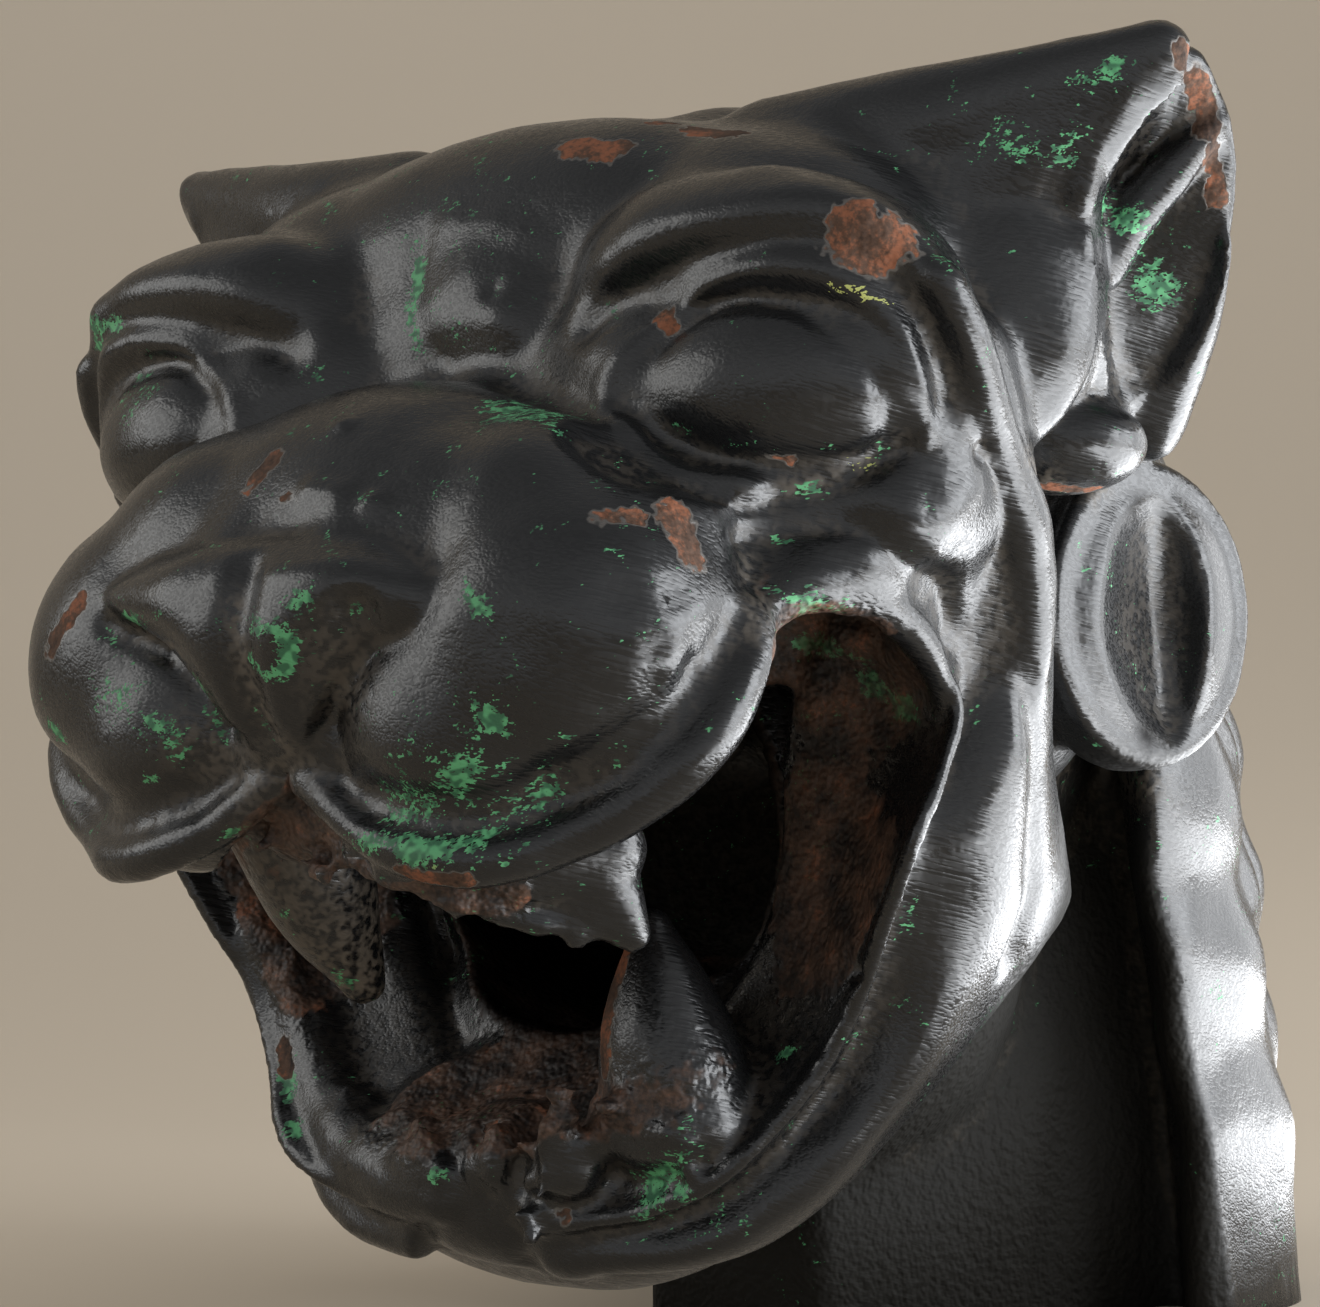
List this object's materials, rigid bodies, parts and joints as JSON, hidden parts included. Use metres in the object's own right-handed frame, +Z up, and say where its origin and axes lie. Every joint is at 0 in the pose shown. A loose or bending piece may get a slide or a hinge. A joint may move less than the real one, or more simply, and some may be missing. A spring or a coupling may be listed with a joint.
{
  "type": "gargoyle",
  "caption": "Black-painted cast-iron gargoyle: a snarling big cat's head with gaping jaws and pricked ears on a short maned neck, cut flat.",
  "frame": {"origin": "middle of the flat face that the neck is cut off at", "axes": "+Z up out of the neck face, -Y the way the beast looks, +X its left side"},
  "size_m": [0.2961, 0.3829, 0.3074],
  "materials": {
    "black_paint": "old black gloss paint over a green undercoat, chipped to rust"
  },
  "bodies": {
    "root": {"gargoyle": "black_paint"}
  },
  "joints": []
}
